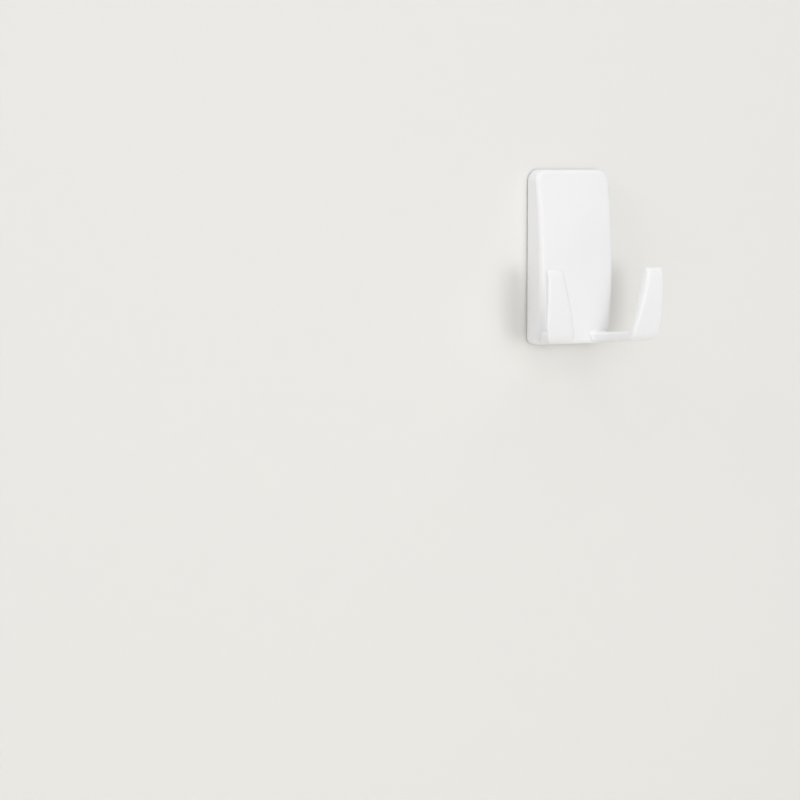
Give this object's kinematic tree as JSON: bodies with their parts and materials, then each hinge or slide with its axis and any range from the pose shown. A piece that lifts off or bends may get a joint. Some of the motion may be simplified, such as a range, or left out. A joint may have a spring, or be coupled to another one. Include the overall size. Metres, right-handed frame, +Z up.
{
  "type": "razor holder",
  "caption": "Wall-hung razor holder: a slide-on cover with upturned prongs that cradle a razor head, over a mounting base and an adhesive strip.",
  "frame": {"origin": "middle of the bonded area of the adhesive strip, on the wall", "axes": "+Z up, +Y into the wall, so the prongs reach out towards -Y, and +X to the right as seen from the room"},
  "size_m": [0.0438, 0.0316, 0.06],
  "materials": {
    "holder_plastic": "satin moulded white",
    "base_plastic": "plain moulded white",
    "foam": "closed-cell foam",
    "adhesive": "clear pressure-sensitive adhesive",
    "tab_film": "thin film"
  },
  "bodies": {
    "mount": {"mounting_base": "base_plastic", "foam_strip": "foam", "wall_adhesive": "adhesive", "base_adhesive": "adhesive", "tab_film_wall": "tab_film", "tab_film_room": "tab_film"},
    "cover": {"holder_body": "holder_plastic"}
  },
  "joints": [
    {"name": "cover_slide", "type": "slide", "parent": "mount", "child": "cover", "axis": [0, 0, 1], "range_m": [0, 0.056]}
  ]
}
